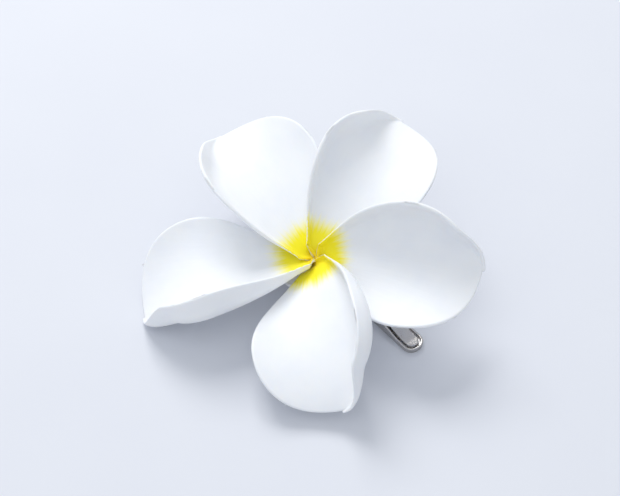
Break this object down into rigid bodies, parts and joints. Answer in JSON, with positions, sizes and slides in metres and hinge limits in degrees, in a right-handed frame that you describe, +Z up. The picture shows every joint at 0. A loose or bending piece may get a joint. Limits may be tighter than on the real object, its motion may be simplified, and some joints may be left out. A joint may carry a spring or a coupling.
{
  "type": "flower hair clip",
  "caption": "Flower-shaped hair clip: petals with rolled margins spiral round a small throat and sit on a sprung two-jaw metal clip.",
  "frame": {"origin": "on the flat underside of the lower jaw, on the clip's centre line, level with the middle of the flower", "axes": "+X along the clip towards the jaw tips, +Y along the hinge pin, +Z up through the flower"},
  "size_m": [0.0761, 0.0777, 0.0342],
  "materials": {
    "plated_steel": "polished nickel plate with fine stamping marks",
    "pin_steel": "turned steel, rounded rivet heads",
    "spring_wire": "drawn spring wire",
    "hot_melt": "cloudy hot-melt glue",
    "felt": "white craft felt",
    "white_clay": "soft white moulding foam",
    "yellow_clay": "lemon-yellow moulding foam",
    "petal_foam": "soft white foam with a satin skin, yellow at the foot"
  },
  "bodies": {
    "flower": {"upper_jaw": "plated_steel", "hinge_pin": "pin_steel", "torsion_spring": "spring_wire", "glue_pad": "hot_melt", "backing_disc": "felt", "flower_base": "white_clay", "throat_core": "yellow_clay", "petal_1": "petal_foam", "petal_2": "petal_foam", "petal_3": "petal_foam", "petal_4": "petal_foam", "petal_5": "petal_foam"},
    "jaw": {"lower_jaw": "plated_steel"}
  },
  "joints": [
    {"name": "jaw_hinge", "type": "hinge", "parent": "flower", "child": "jaw", "pos_m": [-0.008, 0, 0.0029], "axis": [0, 1, 0], "range_deg": [0, 28], "stiffness_Nm_per_rad": 0.06, "springref_deg": -45.84, "deforming": ["torsion_spring"]}
  ]
}
